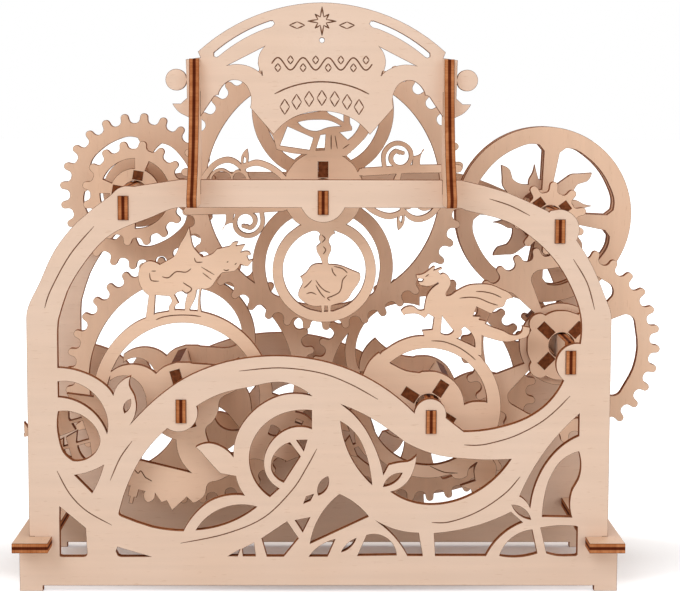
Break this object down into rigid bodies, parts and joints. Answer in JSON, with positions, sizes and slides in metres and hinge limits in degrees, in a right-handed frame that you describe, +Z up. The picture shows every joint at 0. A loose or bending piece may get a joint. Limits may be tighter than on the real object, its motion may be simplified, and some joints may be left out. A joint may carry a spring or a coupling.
{
  "type": "wooden theater model kit",
  "caption": "Tabletop mechanical theater of flat laser-cut plywood: pierced wave screen, arched stage, scenery wheels and a gear train, all turned by one hand wheel.",
  "frame": {"origin": "middle of the overall box, on the ground plane under the feet", "axes": "+X to the viewer's right, +Y from the stage front to the back, +Z up"},
  "size_m": [0.2, 0.0902, 0.1785],
  "materials": {
    "ply": "satin"
  },
  "bodies": {
    "frame": {"front_frame": "ply", "back_frame": "ply", "base_plank_left": "ply", "base_plank_right": "ply", "bracket_left": "ply", "bracket_right": "ply", "theater_sign": "ply", "axle_upper_left": "ply", "axle_centre": "ply", "axle_hand_wheel": "ply", "axle_left_wheel": "ply", "axle_right_wheel": "ply", "axle_idler": "ply"},
    "left_wheel": {"left_wheel_front": "ply", "left_wheel_gear": "ply", "left_wheel_bars": "ply"},
    "right_wheel": {"right_wheel_front": "ply", "right_wheel_gear": "ply", "right_wheel_bars": "ply"},
    "centre_wheel": {"centre_wheel_front": "ply", "centre_gear": "ply", "centre_wheel_bars": "ply"},
    "upper_gears": {"upper_small_gear": "ply", "upper_large_gear": "ply", "upper_gear_bars": "ply"},
    "idler": {"idler_hub": "ply", "idler_gear": "ply", "idler_pinion": "ply", "idler_bars": "ply"},
    "hand_wheel": {"hand_wheel_pinion": "ply", "hand_wheel_front_disc": "ply", "hand_wheel_sun": "ply", "hand_wheel_rear_disc": "ply", "hand_wheel_bars": "ply"}
  },
  "joints": [
    {"name": "left_wheel_turn", "type": "hinge", "parent": "frame", "child": "left_wheel", "pos_m": [-0.04964, 0.00505, 0.05802], "axis": [0, -1, 0], "continuous": true},
    {"name": "right_wheel_turn", "type": "hinge", "parent": "frame", "child": "right_wheel", "pos_m": [0.02629, 0.00505, 0.05484], "axis": [0, -1, 0], "continuous": true},
    {"name": "centre_wheel_turn", "type": "hinge", "parent": "frame", "child": "centre_wheel", "pos_m": [-0.00666, 0.00505, 0.1214], "axis": [0, -1, 0], "continuous": true},
    {"name": "upper_gears_turn", "type": "hinge", "parent": "frame", "child": "upper_gears", "pos_m": [-0.06664, 0.00505, 0.11972], "axis": [0, -1, 0], "continuous": true},
    {"name": "idler_turn", "type": "hinge", "parent": "frame", "child": "idler", "pos_m": [0.06851, 0.00505, 0.07311], "axis": [0, -1, 0], "continuous": true},
    {"name": "hand_wheel_turn", "type": "hinge", "parent": "frame", "child": "hand_wheel", "pos_m": [0.06468, 0.00505, 0.11292], "axis": [0, -1, 0], "continuous": true}
  ],
  "couplings": [
    {"joint": "right_wheel_turn", "follows": "left_wheel_turn", "ratio": -1.1111},
    {"joint": "idler_turn", "follows": "left_wheel_turn", "ratio": 4},
    {"joint": "hand_wheel_turn", "follows": "left_wheel_turn", "ratio": -12},
    {"joint": "upper_gears_turn", "follows": "left_wheel_turn", "ratio": -1.6667},
    {"joint": "centre_wheel_turn", "follows": "left_wheel_turn", "ratio": 0.60606}
  ]
}
